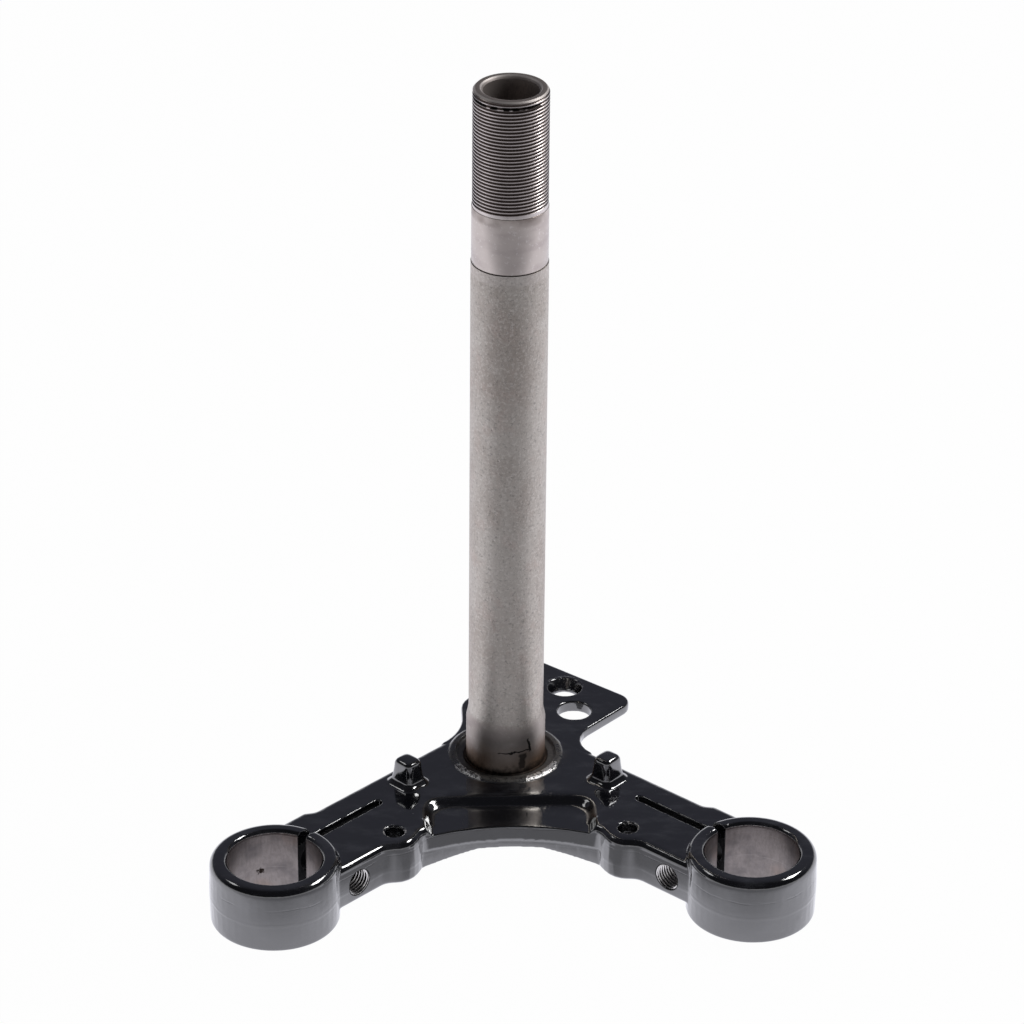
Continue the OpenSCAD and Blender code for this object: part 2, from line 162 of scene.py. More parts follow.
class Finish:
    """A procedural material, with short calls for its nodes. Lengths in it are millimetres."""

    def __init__(self, name: str) -> None:
        """Starts the material.

        Args:
            name: name of the material.
        """
        self.material = bpy.data.materials.new(name)
        self.material.use_nodes = True
        self.tree = self.material.node_tree
        self.tree.nodes.clear()
        self.shader = self.tree.nodes.new("ShaderNodeBsdfPrincipled")
        self.output = self.tree.nodes.new("ShaderNodeOutputMaterial")
        self.tree.links.new(self.shader.outputs[0], self.output.inputs["Surface"])
        place = self.tree.nodes.new("ShaderNodeTexCoord")
        self.at = self.vector("SCALE", place.outputs["Object"], scale=1 / MM)
        split = self.node("ShaderNodeSeparateXYZ", {0: self.at})
        self.x, self.y, self.z = split.outputs

    def node(self, kind: str, inputs: dict, **settings: object) -> bpy.types.Node:
        """Adds a node.

        Args:
            kind: Blender's name of the node.
            inputs: value or socket for each input, by name or place.
            settings: the node's own settings.

        Returns:
            The node.
        """
        made = self.tree.nodes.new(kind)
        for key, value in settings.items():
            setattr(made, key, value)
        for key, value in inputs.items():
            if isinstance(value, bpy.types.NodeSocket):
                self.tree.links.new(value, made.inputs[key])
            else:
                made.inputs[key].default_value = value
        return made

    def math(self, how: str, *values: Value, clamp: bool = False) -> Socket:
        """Result of a Math node."""
        return self.node("ShaderNodeMath", dict(enumerate(values)), operation=how,
                         use_clamp=clamp).outputs[0]

    def vector(self, how: str, a: Socket, b: list | None = None, scale: float = 1) -> Socket:
        """Result of a Vector Math node.

        Args:
            how: Blender's name of the operation.
            a: the first vector.
            b: the second vector, for an operation that takes two.
            scale: the factor, for SCALE.

        Returns:
            The length for LENGTH, else the vector.
        """
        inputs = {0: a} if b is None else {0: a, 1: b}
        if how == "SCALE":
            inputs["Scale"] = scale
        made = self.node("ShaderNodeVectorMath", inputs, operation=how)
        return made.outputs["Value" if how == "LENGTH" else "Vector"]

    def length(self, *parts: Value) -> Socket:
        """Length of a vector with the given parts."""
        both = self.node("ShaderNodeCombineXYZ", dict(enumerate(parts)))
        return self.vector("LENGTH", both.outputs[0])

    def chain(self, how: str, values: tuple) -> Socket:
        """Joins numbers one after the other with the same operation.

        Args:
            how: Blender's name of the operation.
            values: two or more numbers or sockets.

        Returns:
            The result.
        """
        out = values[0]
        for value in values[1:]:
            out = self.math(how, out, value)
        return out

    def minus(self, a: Value, b: Value, clamp: bool = False) -> Socket:
        """Difference of two numbers, kept between 0 and 1 if clamp is set."""
        return self.math("SUBTRACT", a, b, clamp=clamp)

    def times(self, *values: Value) -> Socket:
        """Product of numbers."""
        return self.chain("MULTIPLY", values)

    def total(self, *values: Value) -> Socket:
        """Sum of numbers."""
        return self.chain("ADD", values)

    def all_of(self, *masks: Value) -> Socket:
        """Where every mask is on."""
        return self.chain("MULTIPLY", masks)

    def any_of(self, *masks: Value) -> Socket:
        """Where at least one mask is on."""
        return self.chain("MAXIMUM", masks)

    def fade(self, value: Value, at: float, to: float) -> Socket:
        """Smooth step from 0 where value is at, to 1 where value is to."""
        return self.node("ShaderNodeMapRange", {0: value, 1: at, 2: to, 3: 0, 4: 1},
                         interpolation_type="SMOOTHSTEP").outputs[0]

    def band(self, value: Value, middle: float, half: float, soft: float) -> Socket:
        """1 where value is within half of middle, with soft edges."""
        away = self.math("ABSOLUTE", self.minus(value, middle))
        return self.fade(away, half + soft, half)

    def noise(self, size: float, detail: float = 2, stretch: tuple = (1, 1, 1),
              rough: float = 0.5) -> Socket:
        """Noise.

        Args:
            size: size of its features, in millimetres.
            detail: how many finer layers it has.
            stretch: factor of the size along X, Y and Z.
            rough: how strong the finer layers are.

        Returns:
            A number of about 0.5, mostly between 0.25 and 0.75.
        """
        where = self.vector("MULTIPLY", self.at, [1 / (size * k) for k in stretch])
        made = self.node("ShaderNodeTexNoise", {"Vector": where, "Scale": 1, "Detail": detail,
                                                "Roughness": rough})
        return made.outputs["Fac"]

    def blend(self, mask: Value, off: Value | tuple, on: Value | tuple) -> Socket:
        """Colour that goes from off to on with a mask.

        Args:
            mask: 0 for off, 1 for on.
            off: the first colour.
            on: the second one.

        Returns:
            The colour.
        """
        made = self.node("ShaderNodeMix", {MIX_FACTOR: mask}, data_type="RGBA")
        for key, value in ((MIX_A, off), (MIX_B, on)):
            if isinstance(value, bpy.types.NodeSocket):
                self.tree.links.new(value, made.inputs[key])
            else:
                made.inputs[key].default_value = (*value, 1)
        return made.outputs[MIX_RESULT]

    def lerp(self, mask: Value, off: Value, on: Value) -> Socket:
        """Number that goes from off to on with a mask."""
        return self.math("MULTIPLY_ADD", self.minus(on, off), mask, off)

    def relief(self, height: Value) -> None:
        """Bump from a height in millimetres."""
        bump = self.node("ShaderNodeBump", {"Height": height, "Strength": 1, "Distance": MM})
        self.wire("Normal", bump.outputs[0])

    def wire(self, name: str, value: Socket) -> None:
        """Links a socket to the shader."""
        self.tree.links.new(value, self.shader.inputs[name])

    def fix(self, **values: object) -> None:
        """Sets what is the same all over on the shader itself."""
        for name, value in values.items():
            self.shader.inputs[name.replace("_", " ")].default_value = value


@dataclass(frozen=True)
class ArmLayout:
    """Where the arms' features lie, in millimetres, the same on either side.

    Args:
        fork_x: distance of the fork bores from the centre plane.
        fork_y: place of the fork bores along Y.
        angle: direction of the arms, in degrees from the X axis.
        pinch_reach: distance from the fork bore's axis to the pinch bolt, along the arm.
        pinch_height: height of the pinch bolt.
        front_face: distance of the arm's front face from the fork bore's axis.
        slit_middle: distance of the slit's middle from the fork bore's axis, across the arm.
        slit_half: half the slit's width.
        slit_reach: distance from the fork bore's axis to the slit's end.
    """

    fork_x: float = 83
    fork_y: float = -71
    angle: float = 43.4
    pinch_reach: float = 22.5
    pinch_height: float = 12
    front_face: float = 19
    slit_middle: float = 3.5
    slit_half: float = 1.56
    slit_reach: float = 55


@dataclass(frozen=True)
class YokePlaces:
    """Distances in millimetres, as sockets, that the masks of the yoke's finish start from.

    Args:
        ring_r: distance from the nearer fork bore's axis.
        along: distance from that axis towards the hub, along the arm.
        across: distance behind that axis, across the arm.
        pinch_r: distance from the pinch bolt's axis.
        knee_r: distance from the nearer knee hole's axis.
        dish_r: distance from the dished hole's axis.
        hub_r: distance from the stem's axis.
    """

    ring_r: Socket
    along: Socket
    across: Socket
    pinch_r: Socket
    knee_r: Socket
    dish_r: Socket
    hub_r: Socket


@dataclass(frozen=True)
class YokeEnamel:
    """Gloss black enamel over a forging, with bare bores, tapped holes and a scuffed hub rim.

    Args:
        paint: colour of the enamel.
        sheen_tint: colour of thin pale streaks of painted sheen in the enamel, which stand in for
            streaky reflections.
        dusty: colour of the seat inside the hub's rim.
        grit: colour of the pale grains there.
        bore_metal: colour of the machined fork bores.
        bore_stain: colour of the soft stains in the bores.
        bore_rust: colour of the warm stains in the bores.
        bore_grain: colour of the fine grain in the bores.
        feed_mark: colour of the marks that the cutter left in the bores.
        pit: colour of the pit in the left bore.
        bright_metal: colour of the scuffs, of the chips that stand in for painted glints, and of
            the painted highlight on the tapped holes' crests.
        scraped: colour of the duller metal in the scuffs.
        groove: near-black colour of the tapped holes' grooves, a painted shade.
        arms: where the arms' features lie.
        bore_r: radius up to which a fork bore is bare.
        tapped_r: radius up to which the tapped hole is bare.
        crest_r: radius up to which the tapped hole's crests get the painted highlight.
        knee: place of the knee's hole on either side.
        dish: place of the dished hole.
        pit_at: place of the left bore's pit.
        top: height of the arms' upper faces.
        parting: height of the parting line.
        crease: height of the crease in the paint above it.
    """

    paint: tuple = (0.0042, 0.0045, 0.007)
    sheen_tint: tuple = (0.065, 0.067, 0.076)
    dusty: tuple = (0.02, 0.018, 0.016)
    grit: tuple = (0.17, 0.155, 0.14)
    bore_metal: tuple = (0.3, 0.27, 0.262)
    bore_stain: tuple = (0.17, 0.156, 0.158)
    bore_rust: tuple = (0.3, 0.215, 0.175)
    bore_grain: tuple = (0.2, 0.18, 0.17)
    feed_mark: tuple = (0.62, 0.58, 0.55)
    pit: tuple = (0.02, 0.015, 0.012)
    bright_metal: tuple = (0.9, 0.88, 0.86)
    scraped: tuple = (0.55, 0.53, 0.5)
    groove: tuple = (0.012, 0.012, 0.012)
    arms: ArmLayout = ArmLayout()
    bore_r: float = 16.62
    tapped_r: float = 5.15
    crest_r: float = 4.6
    knee: tuple = (41, -50.6)
    dish: tuple = (23.8, 45.3)
    pit_at: tuple = (-88.2, -55.4, 8.2)
    top: float = 20
    parting: float = 10.4
    crease: float = 16.6

    def material(self) -> bpy.types.Material:
        """Builds the nodes.

        Returns:
            The material.
        """
        f = Finish("yoke_enamel")
        at = self.places(f)
        bore = f.fade(at.ring_r, self.bore_r + 0.1, self.bore_r - 0.06)
        tapped = f.all_of(f.fade(at.pinch_r, self.tapped_r + 0.1, self.tapped_r - 0.1),
                          f.fade(at.across, 1.5, 0.5))
        slit = self.slit_walls(f, at)
        # The rim scuffs are real wear. The chips are painted glints.
        scuffs_and_glints = f.any_of(self.rim_scuffs(f, at), self.chips_and_glints(f, at))
        seat = f.all_of(f.fade(at.hub_r, 18.7, 17.9), f.fade(f.z, self.top - 0.8, self.top - 0.2))
        dust = f.any_of(seat, self.rim_dust(f, at))
        bare = f.any_of(bore, tapped, scuffs_and_glints)

        bright = f.blend(f.fade(f.noise(0.7, 3), 0.36, 0.5), self.scraped, self.bright_metal)
        # Painted light in the tapped holes: the bright crests are a painted highlight and the
        # near-black grooves a painted shade.
        crest_highlight = f.blend(f.fade(at.pinch_r, self.crest_r + 0.25, self.crest_r), self.groove,
                         self.bright_metal)
        # Painted sheen: pale streaks in the enamel's colour stand in for streaky reflections.
        sheen_streaks = f.all_of(f.fade(f.noise(7, 5, (2.2, 1, 1), 0.65), 0.46, 0.72), 0.6)
        colour = f.blend(sheen_streaks, self.paint, self.sheen_tint)
        colour = f.blend(dust, colour, f.blend(f.noise(1.3, 4, rough=0.7), self.dusty, self.grit))
        colour = f.blend(bore, colour, self.bore_colour(f))
        colour = f.blend(scuffs_and_glints, colour, bright)
        f.wire("Base Color", f.blend(tapped, colour, crest_highlight))
        f.wire("Metallic", f.minus(bare, f.times(scuffs_and_glints, 0.4), clamp=True))

        dull = f.any_of(bare, slit, f.times(dust, 0.85))
        f.wire("Coat Weight", f.minus(1, dull, clamp=True))
        rough = f.lerp(dust, f.lerp(f.noise(14, 2), 0.1, 0.16), 0.45)
        rough = f.lerp(scuffs_and_glints, rough, 0.33)
        rough = f.lerp(f.minus(slit, bare, clamp=True), rough, 0.9)
        f.wire("Roughness", f.lerp(tapped, f.lerp(bore, rough, 0.4), 0.22))
        f.fix(Specular_IOR_Level=0.7, Coat_Roughness=0.05, Coat_IOR=2.2)
        f.relief(self.surface(f, at, bore, scuffs_and_glints, bare))
        return f.material

    def places(self, f: Finish) -> YokePlaces:
        """Works out the distances that the masks start from.

        Args:
            f: the finish that is built.

        Returns:
            The distances.
        """
        aside = f.math("ABSOLUTE", f.x)
        side_x = f.minus(aside, self.arms.fork_x)
        side_y = f.minus(f.y, self.arms.fork_y)
        cos_a = math.cos(math.radians(self.arms.angle))
        sin_a = math.sin(math.radians(self.arms.angle))
        along = f.minus(f.times(side_y, sin_a), f.times(side_x, cos_a))
        return YokePlaces(
            ring_r=f.length(side_x, side_y),
            along=along,
            across=f.total(f.times(side_x, sin_a), f.times(side_y, cos_a)),
            pinch_r=f.length(f.minus(along, self.arms.pinch_reach),
                             f.minus(f.z, self.arms.pinch_height)),
            knee_r=f.length(f.minus(aside, self.knee[0]), f.minus(f.y, self.knee[1])),
            dish_r=f.length(f.minus(f.x, self.dish[0]), f.minus(f.y, self.dish[1])),
            hub_r=f.length(f.x, f.y),
        )

    def slit_walls(self, f: Finish, at: YokePlaces) -> Socket:
        """Walls of the slits and of the pinch holes behind them, where little paint went.

        Args:
            f: the finish that is built.
            at: the distances on the yoke.

        Returns:
            The mask.
        """
        reach = self.arms.slit_reach
        slit = f.all_of(f.band(at.across, self.arms.slit_middle, self.arms.slit_half, 0.1),
                        f.fade(at.along, 8, 12), f.fade(at.along, reach + 0.2, reach),
                        f.fade(f.z, self.top - 0.4, self.top - 1.6))
        shank = f.all_of(f.fade(at.pinch_r, self.tapped_r + 0.3, self.tapped_r + 0.15),
                         f.fade(at.across, 0.5, 1.5))
        return f.any_of(slit, shank)

    def bore_colour(self, f: Finish) -> Socket:
        """Turned metal with soft stains, a few lighter feed marks and one pit.

        Args:
            f: the finish that is built.

        Returns:
            The colour.
        """
        stains = f.fade(f.noise(13, 4, (1, 1, 0.8), 0.6), 0.4, 0.66)
        colour = f.blend(stains, self.bore_metal, self.bore_stain)
        rust = f.all_of(f.fade(f.noise(17, 3), 0.5, 0.68), 0.5)
        colour = f.blend(rust, colour, self.bore_rust)
        fine = f.all_of(f.fade(f.noise(0.9, 3, (1, 1, 2.4), 0.7), 0.42, 0.62), 0.4)
        colour = f.blend(fine, colour, self.bore_grain)
        tilt = f.total(f.z, f.times(f.x, 0.05))
        marks = f.all_of(f.fade(f.noise(1, 2, (30, 30, 0.3)), 0.6, 0.68), 0.5,
                         f.fade(f.math("PINGPONG", tilt, 5), 4.2, 4.7))
        colour = f.blend(marks, colour, self.feed_mark)
        away = f.length(*(f.minus(k, place) for k, place in zip((f.x, f.y, f.z), self.pit_at)))
        pit = f.fade(f.total(away, f.times(f.noise(0.9, 3), 3)), 3.1, 2.3)
        return f.blend(pit, colour, self.pit)

    def rim_scuffs(self, f: Finish, at: YokePlaces) -> Socket:
        """Where the hub's rim is scuffed to bright metal: in front, left and right.

        Args:
            f: the finish that is built.
            at: the distances on the yoke.

        Returns:
            The mask.
        """
        rim = f.all_of(f.band(at.hub_r, 19.2, 1.9, 0.3),
                       f.fade(f.z, self.top + 0.8, self.top + 0.95))
        front = f.fade(f.y, -4, -9)
        right = f.all_of(f.band(f.x, 12.4, 5.2, 2), front)
        left = f.all_of(f.band(f.x, -14, 4, 2), front, 0.93)
        flakes = f.times(f.noise(1, 5, rough=0.68), f.any_of(right, left, 0.5))
        return f.all_of(rim, f.fade(flakes, 0.4, 0.47))

    def chips_and_glints(self, f: Finish, at: YokePlaces) -> Socket:
        """Where bare metal chips stand in for painted glints: on the knee holes' rims and the
        slits' front edges.

        Args:
            f: the finish that is built.
            at: the distances on the yoke.

        Returns:
            The mask.
        """
        rim = f.all_of(f.band(at.knee_r, 3.75, 0.3, 0.25), f.fade(f.noise(2.2, 3), 0.5, 0.56))
        front_edge = self.arms.slit_middle - self.arms.slit_half - 0.12
        edge = f.all_of(f.band(at.across, front_edge, 0.1, 0.16), f.band(at.along, 37, 13, 4),
                        f.fade(f.noise(1.1, 1), 0.5, 0.56), 0.8)
        return f.all_of(f.fade(f.z, self.top - 0.1, self.top + 0.2), f.any_of(rim, edge))

    def rim_dust(self, f: Finish, at: YokePlaces) -> Socket:
        """Blasting dust on the hub's rim and a soft halo of it outside, mostly on the right.

        Args:
            f: the finish that is built.
            at: the distances on the yoke.

        Returns:
            The mask.
        """
        on_rim = f.all_of(f.band(at.hub_r, 18.9, 1.3, 0.8),
                          f.fade(f.z, self.top + 0.4, self.top + 0.8),
                          f.fade(f.noise(2.2, 4, rough=0.7), 0.3, 0.55))
        halo = f.all_of(f.fade(at.hub_r, 25, 19.5), f.fade(f.x, -16, 12),
                        f.fade(f.z, self.top - 0.5, self.top + 0.5),
                        f.fade(f.noise(4, 4), 0.38, 0.7), 0.4)
        return f.any_of(on_rim, halo)

    def surface(self, f: Finish, at: YokePlaces, bore: Socket, scuffs_and_glints: Socket,
                bare: Socket) -> Socket:
        """Height of the waves in the paint, the parting line and the tool marks.

        Args:
            f: the finish that is built.
            at: the distances on the yoke.
            bore: mask of the fork bores.
            scuffs_and_glints: mask of the real scuffs and of the chips that stand in for painted
                glints.
            bare: mask of all bare metal.

        Returns:
            Height in millimetres.
        """
        waves = f.times(f.noise(9, 2), 0.42)
        scale = f.times(f.noise(3, 3, rough=0.5), 0.1)
        holes = f.any_of(f.fade(at.knee_r, 4.4, 3.7), f.fade(at.dish_r, 7.6, 6.4))
        lumps = f.times(f.noise(1.9, 2), holes, 0.75)
        level = f.total(f.z, f.times(f.minus(f.noise(15, 2), 0.5), 2))
        wall = f.all_of(f.fade(at.ring_r, 21.9, 22.3), f.fade(f.z, 2.5, 4),
                        f.fade(f.z, self.top, self.top - 1.5))
        seam = f.times(f.band(level, self.parting, 0.2, 0.8), 0.1)
        crease = f.times(f.band(level, self.crease, 0.08, 0.3), f.fade(f.noise(9, 2), 0.4, 0.55),
                         -0.16)
        lines = f.times(wall, f.total(seam, crease))
        rings = f.times(bore, f.noise(1, 3, (24, 24, 0.22)), 0.02)
        nicks = f.times(scuffs_and_glints, f.noise(0.8, 3, rough=0.6), 0.16)
        coated = f.times(f.total(waves, scale, lumps, lines), f.minus(1, bare))
        return f.total(coated, rings, nicks)


@dataclass(frozen=True)
class StemSteel:
    """Raw tube between turned seats, with a dark cut thread above.

    Args:
        tube: colour of the raw tube.
        soil: colour of its blotches.
        warm: colour of its warm clouds.
        speck: colour of its light specks.
        pit: colour of its dark pits.
        fresh: colour of the tube just under the upper seat.
        ground: colour of the machined seats.
        cloud: colour of the stains on them.
        glint: colour of the light specks on them.
        shade_under_thread: colour of the painted shade on the upper seat close under the thread.
        foot: colour of the painted shade at the foot of the lower seat, next to the hub.
        recess: colour of the groove below the upper seat.
        thread: colour of the thread's flanks.
        crest: colour of its worn crests.
        black: colour of its blackened first turns.
        mouth: colour of the tube's end.
        mouth_edge: colour of its worn edges.
        deep_shade: colour of the painted shade far down in the bore.
        near: colour of the bore near the end; towards deep it darkens as painted shade.
        heat: colour of the heat tint at the foot.
        enamel: colour of the traces of paint.
        bore_r: radius of the bore.
        crest_r: radius of the thread's crests.
        end: height of the tube's end.
        seat_top: height of the lower seat's end.
        cone_top: height where the cone meets the raw tube.
        upper_foot: height where the upper seat starts.
        thread_foot: height where the thread starts.
    """

    tube: tuple = (0.57, 0.53, 0.48)
    soil: tuple = (0.44, 0.385, 0.34)
    warm: tuple = (0.56, 0.46, 0.41)
    speck: tuple = (0.76, 0.72, 0.67)
    pit: tuple = (0.26, 0.24, 0.22)
    fresh: tuple = (0.78, 0.73, 0.69)
    ground: tuple = (0.6, 0.54, 0.5)
    cloud: tuple = (0.46, 0.4, 0.38)
    glint: tuple = (0.8, 0.75, 0.72)
    shade_under_thread: tuple = (0.2, 0.16, 0.14)
    foot: tuple = (0.17, 0.155, 0.145)
    recess: tuple = (0.05, 0.04, 0.035)
    thread: tuple = (0.17, 0.142, 0.13)
    crest: tuple = (0.8, 0.74, 0.71)
    black: tuple = (0.03, 0.025, 0.022)
    mouth: tuple = (0.3, 0.26, 0.24)
    mouth_edge: tuple = (0.62, 0.57, 0.54)
    deep_shade: tuple = (0.12, 0.1, 0.09)
    near: tuple = (0.34, 0.3, 0.28)
    heat: tuple = (0.2, 0.12, 0.07)
    enamel: tuple = (0.012, 0.011, 0.011)
    bore_r: float = 9.5
    crest_r: float = 13
    end: float = 282.3
    seat_top: float = 37
    cone_top: float = 41
    upper_foot: float = 218.7
    thread_foot: float = 239.5

    def material(self) -> bpy.types.Material:
        """Builds the nodes.

        Returns:
            The material.
        """
        f = Finish("stem_steel")
        axis_r = f.length(f.x, f.y)
        ragged = f.times(f.minus(f.noise(6, 4, rough=0.6), 0.5), 5)
        raw = f.all_of(f.fade(f.total(f.z, ragged), self.cone_top - 2.5, self.cone_top),
                       f.fade(f.z, self.upper_foot, self.upper_foot - 0.3))
        threaded = f.all_of(f.fade(f.z, self.thread_foot - 0.15, self.thread_foot + 0.15),
                            f.fade(axis_r, self.crest_r - 1.6, self.crest_r - 1.1))
        inside = f.fade(axis_r, self.bore_r + 0.7, self.bore_r + 0.4)
        mouth = f.all_of(f.fade(f.z, self.end - 1.1, self.end - 0.8),
                         f.fade(axis_r, self.crest_r, self.crest_r - 0.4))
        low = f.fade(f.z, self.cone_top - 2, self.cone_top - 5)

        colour = f.blend(raw, self.turned_colour(f), self.raw_colour(f))
        colour = f.blend(threaded, colour, self.cut_colour(f, axis_r))
        colour = f.blend(f.all_of(low, self.tint(f)), colour, self.heat)
        colour = f.blend(f.all_of(low, self.paint_traces(f)), colour, self.enamel)
        worn = f.any_of(f.band(axis_r, self.crest_r - 0.6, 0.2, 0.15),
                        f.band(axis_r, self.bore_r + 0.7, 0.3, 0.2))
        colour = f.blend(mouth, colour, f.blend(worn, self.mouth, self.mouth_edge))
        # Painted shade in the bore: darker further down from the end.
        shade_depth = f.fade(f.z, self.end - 20.3, self.end - 1.3)
        f.wire("Base Color", f.blend(inside, colour, f.blend(shade_depth, self.deep_shade, self.near)))

        end = f.any_of(inside, mouth)
        seat = f.fade(f.z, self.cone_top + 1.5, self.cone_top - 1)
        f.wire("Metallic", f.lerp(end, 1, 0.5))
        f.wire("Roughness", f.any_of(f.lerp(raw, f.lerp(threaded, 0.3, 0.27), 0.42),
                                     f.times(end, 0.5), f.times(seat, 0.52)))
        grain = f.times(f.noise(0.8, 3, rough=0.7), raw, 0.14)
        turned = f.times(f.noise(1, 2, (40, 40, 0.16)), f.minus(1, raw), f.minus(1, threaded),
                         f.lerp(low, 0.012, 0.004))
        dents = f.times(f.noise(12, 2), 0.06)
        pits = f.times(f.fade(f.noise(2.6, 2, rough=0.4), 0.29, 0.22), raw, -0.12)
        f.relief(f.total(grain, turned, dents, pits))
        return f.material

    def raw_colour(self, f: Finish) -> Socket:
        """Raw tube: brownish blotches, fine light grain and small dark pits.

        Args:
            f: the finish that is built.

        Returns:
            The colour.
        """
        colour = self.tube
        for pattern, at, to, share, on in (
                (f.noise(22, 4, (1, 1, 1.7), 0.6), 0.42, 0.68, 0.8, self.soil),
                (f.noise(9, 4, rough=0.65), 0.52, 0.68, 0.35, self.warm),
                (f.noise(1, 3, rough=0.75), 0.48, 0.64, 0.5, self.speck),
                (f.noise(1.2, 3, rough=0.8), 0.46, 0.32, 0.6, self.pit)):
            colour = f.blend(f.times(f.fade(pattern, at, to), share), colour, on)
        fresh = f.band(f.total(f.z, f.times(f.noise(3, 3), 1.4)), self.upper_foot - 1.1, 1.6, 1.6)
        return f.blend(f.times(fresh, 0.3), colour, self.fresh)

    def turned_colour(self, f: Finish) -> Socket:
        """Machined seats: soft warm stains, with painted shade close under the thread and at the
        foot.

        Args:
            f: the finish that is built.

        Returns:
            The colour.
        """
        clouds = f.times(f.fade(f.noise(12, 3, (1, 1, 0.4)), 0.45, 0.75), 0.7)
        glints = f.times(f.fade(f.noise(1.4, 3, rough=0.7), 0.57, 0.68), 0.5)
        colour = f.blend(glints, f.blend(clouds, self.ground, self.cloud), self.glint)
        # Painted shade on the upper seat, close under the thread.
        shade = f.all_of(f.band(f.z, self.thread_foot - 1.2, 1, 1.8),
                         f.fade(f.noise(9, 2), 0.3, 0.6), 0.75)
        colour = f.blend(shade, colour, self.shade_under_thread)
        # Painted shade at the foot, next to the hub: darkest in front and behind, less on the
        # sides.
        ahead = f.lerp(f.fade(f.math("ABSOLUTE", f.x), 12.5, 8), 0.3, 1)
        foot = f.all_of(f.fade(f.z, self.cone_top + 2, self.seat_top - 4), ahead,
                        f.lerp(f.noise(5, 4, rough=0.6), 0.6, 1))
        colour = f.blend(foot, colour, self.foot)
        recess = f.all_of(f.fade(f.z, self.upper_foot + 0.2, self.upper_foot),
                          f.fade(f.z, self.upper_foot - 18.7, self.upper_foot - 8.7))
        return f.blend(recess, colour, self.recess)

    def cut_colour(self, f: Finish, axis_r: Socket) -> Socket:
        """Dark flanks and bright worn crests of the thread, with its first turns blackened.

        Args:
            f: the finish that is built.
            axis_r: distance from the stem's axis.

        Returns:
            The colour.
        """
        worn = f.all_of(f.fade(axis_r, self.crest_r - 0.26, self.crest_r - 0.05),
                        f.lerp(f.noise(5, 3), 0.5, 1.1))
        first = f.all_of(f.band(f.z, self.end - 2.5, 0.5, 0.4), f.fade(f.noise(3, 3), 0.42, 0.5))
        return f.blend(first, f.blend(worn, self.thread, self.crest), self.black)

    def tint(self, f: Finish) -> Socket:
        """Heat tint, stronger on the left and right than in front.

        Args:
            f: the finish that is built.

        Returns:
            The mask.
        """
        sides = f.fade(f.math("ABSOLUTE", f.x), 4, 12)
        foot = f.fade(f.total(f.z, f.times(f.noise(8, 3), 12)), self.cone_top - 1,
                      self.cone_top - 13)
        return f.all_of(foot, f.lerp(sides, 0.35, 0.9))

    def paint_traces(self, f: Finish) -> Socket:
        """Thin runs of enamel on the seat in front, and overspray at its foot.

        Args:
            f: the finish that is built.

        Returns:
            The mask.
        """
        wander = f.times(f.minus(f.noise(3.5, 3), 0.5), 3.4)
        along, up = f.total(f.x, wander), f.total(f.z, wander)
        run = f.all_of(f.band(up, 29.2, 0.14, 0.32), f.band(f.x, 2.6, 5.4, 1))
        hook = f.all_of(f.band(along, 8, 0.2, 0.36), f.band(f.z, 31.3, 2.4, 0.8))
        drop = f.all_of(f.band(along, 5.4, 0.7, 0.8), f.band(f.z, 25.2, 2.6, 1), 0.8)
        front = f.fade(f.y, 0, -2)
        spray = f.fade(f.total(f.z, f.times(f.noise(1.6, 4), 6)), 27.5, 22.5)
        return f.any_of(f.all_of(f.any_of(run, hook, drop), front), f.times(spray, 0.85))


